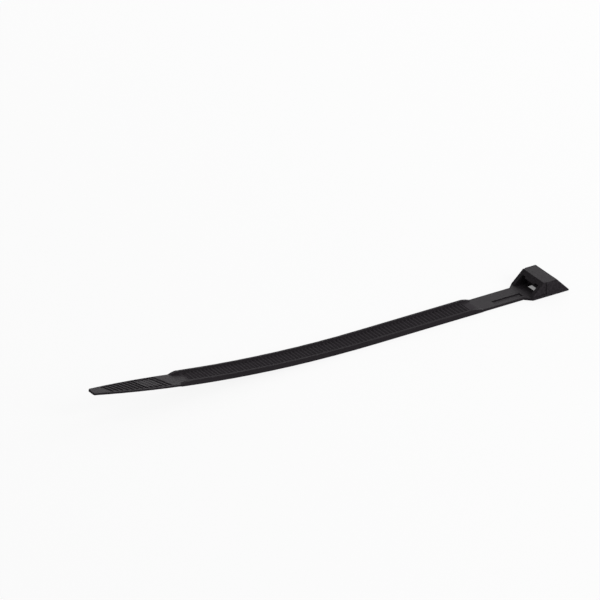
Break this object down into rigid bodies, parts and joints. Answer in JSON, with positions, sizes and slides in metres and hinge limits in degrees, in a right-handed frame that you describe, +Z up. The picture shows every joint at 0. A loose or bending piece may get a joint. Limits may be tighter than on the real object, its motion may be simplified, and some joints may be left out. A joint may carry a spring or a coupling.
{
  "type": "cable tie",
  "caption": "Cable tie lying open: a toothed strap with two side rims, a thin ribbed tail, and a low wedge-shaped head with a window and a locking pawl.",
  "frame": {"origin": "on the flat underside, in the middle of the head's front edge, where the strap leaves the head", "axes": "+X to the back of the head, the strap runs to -X; +Y across the strap; +Z up on the toothed face"},
  "size_m": [0.1837, 0.013, 0.0111],
  "materials": {
    "nylon": "black moulded nylon, fine matt texture with a soft sheen"
  },
  "bodies": {
    "root": {"cable_tie": "nylon"}
  },
  "joints": []
}
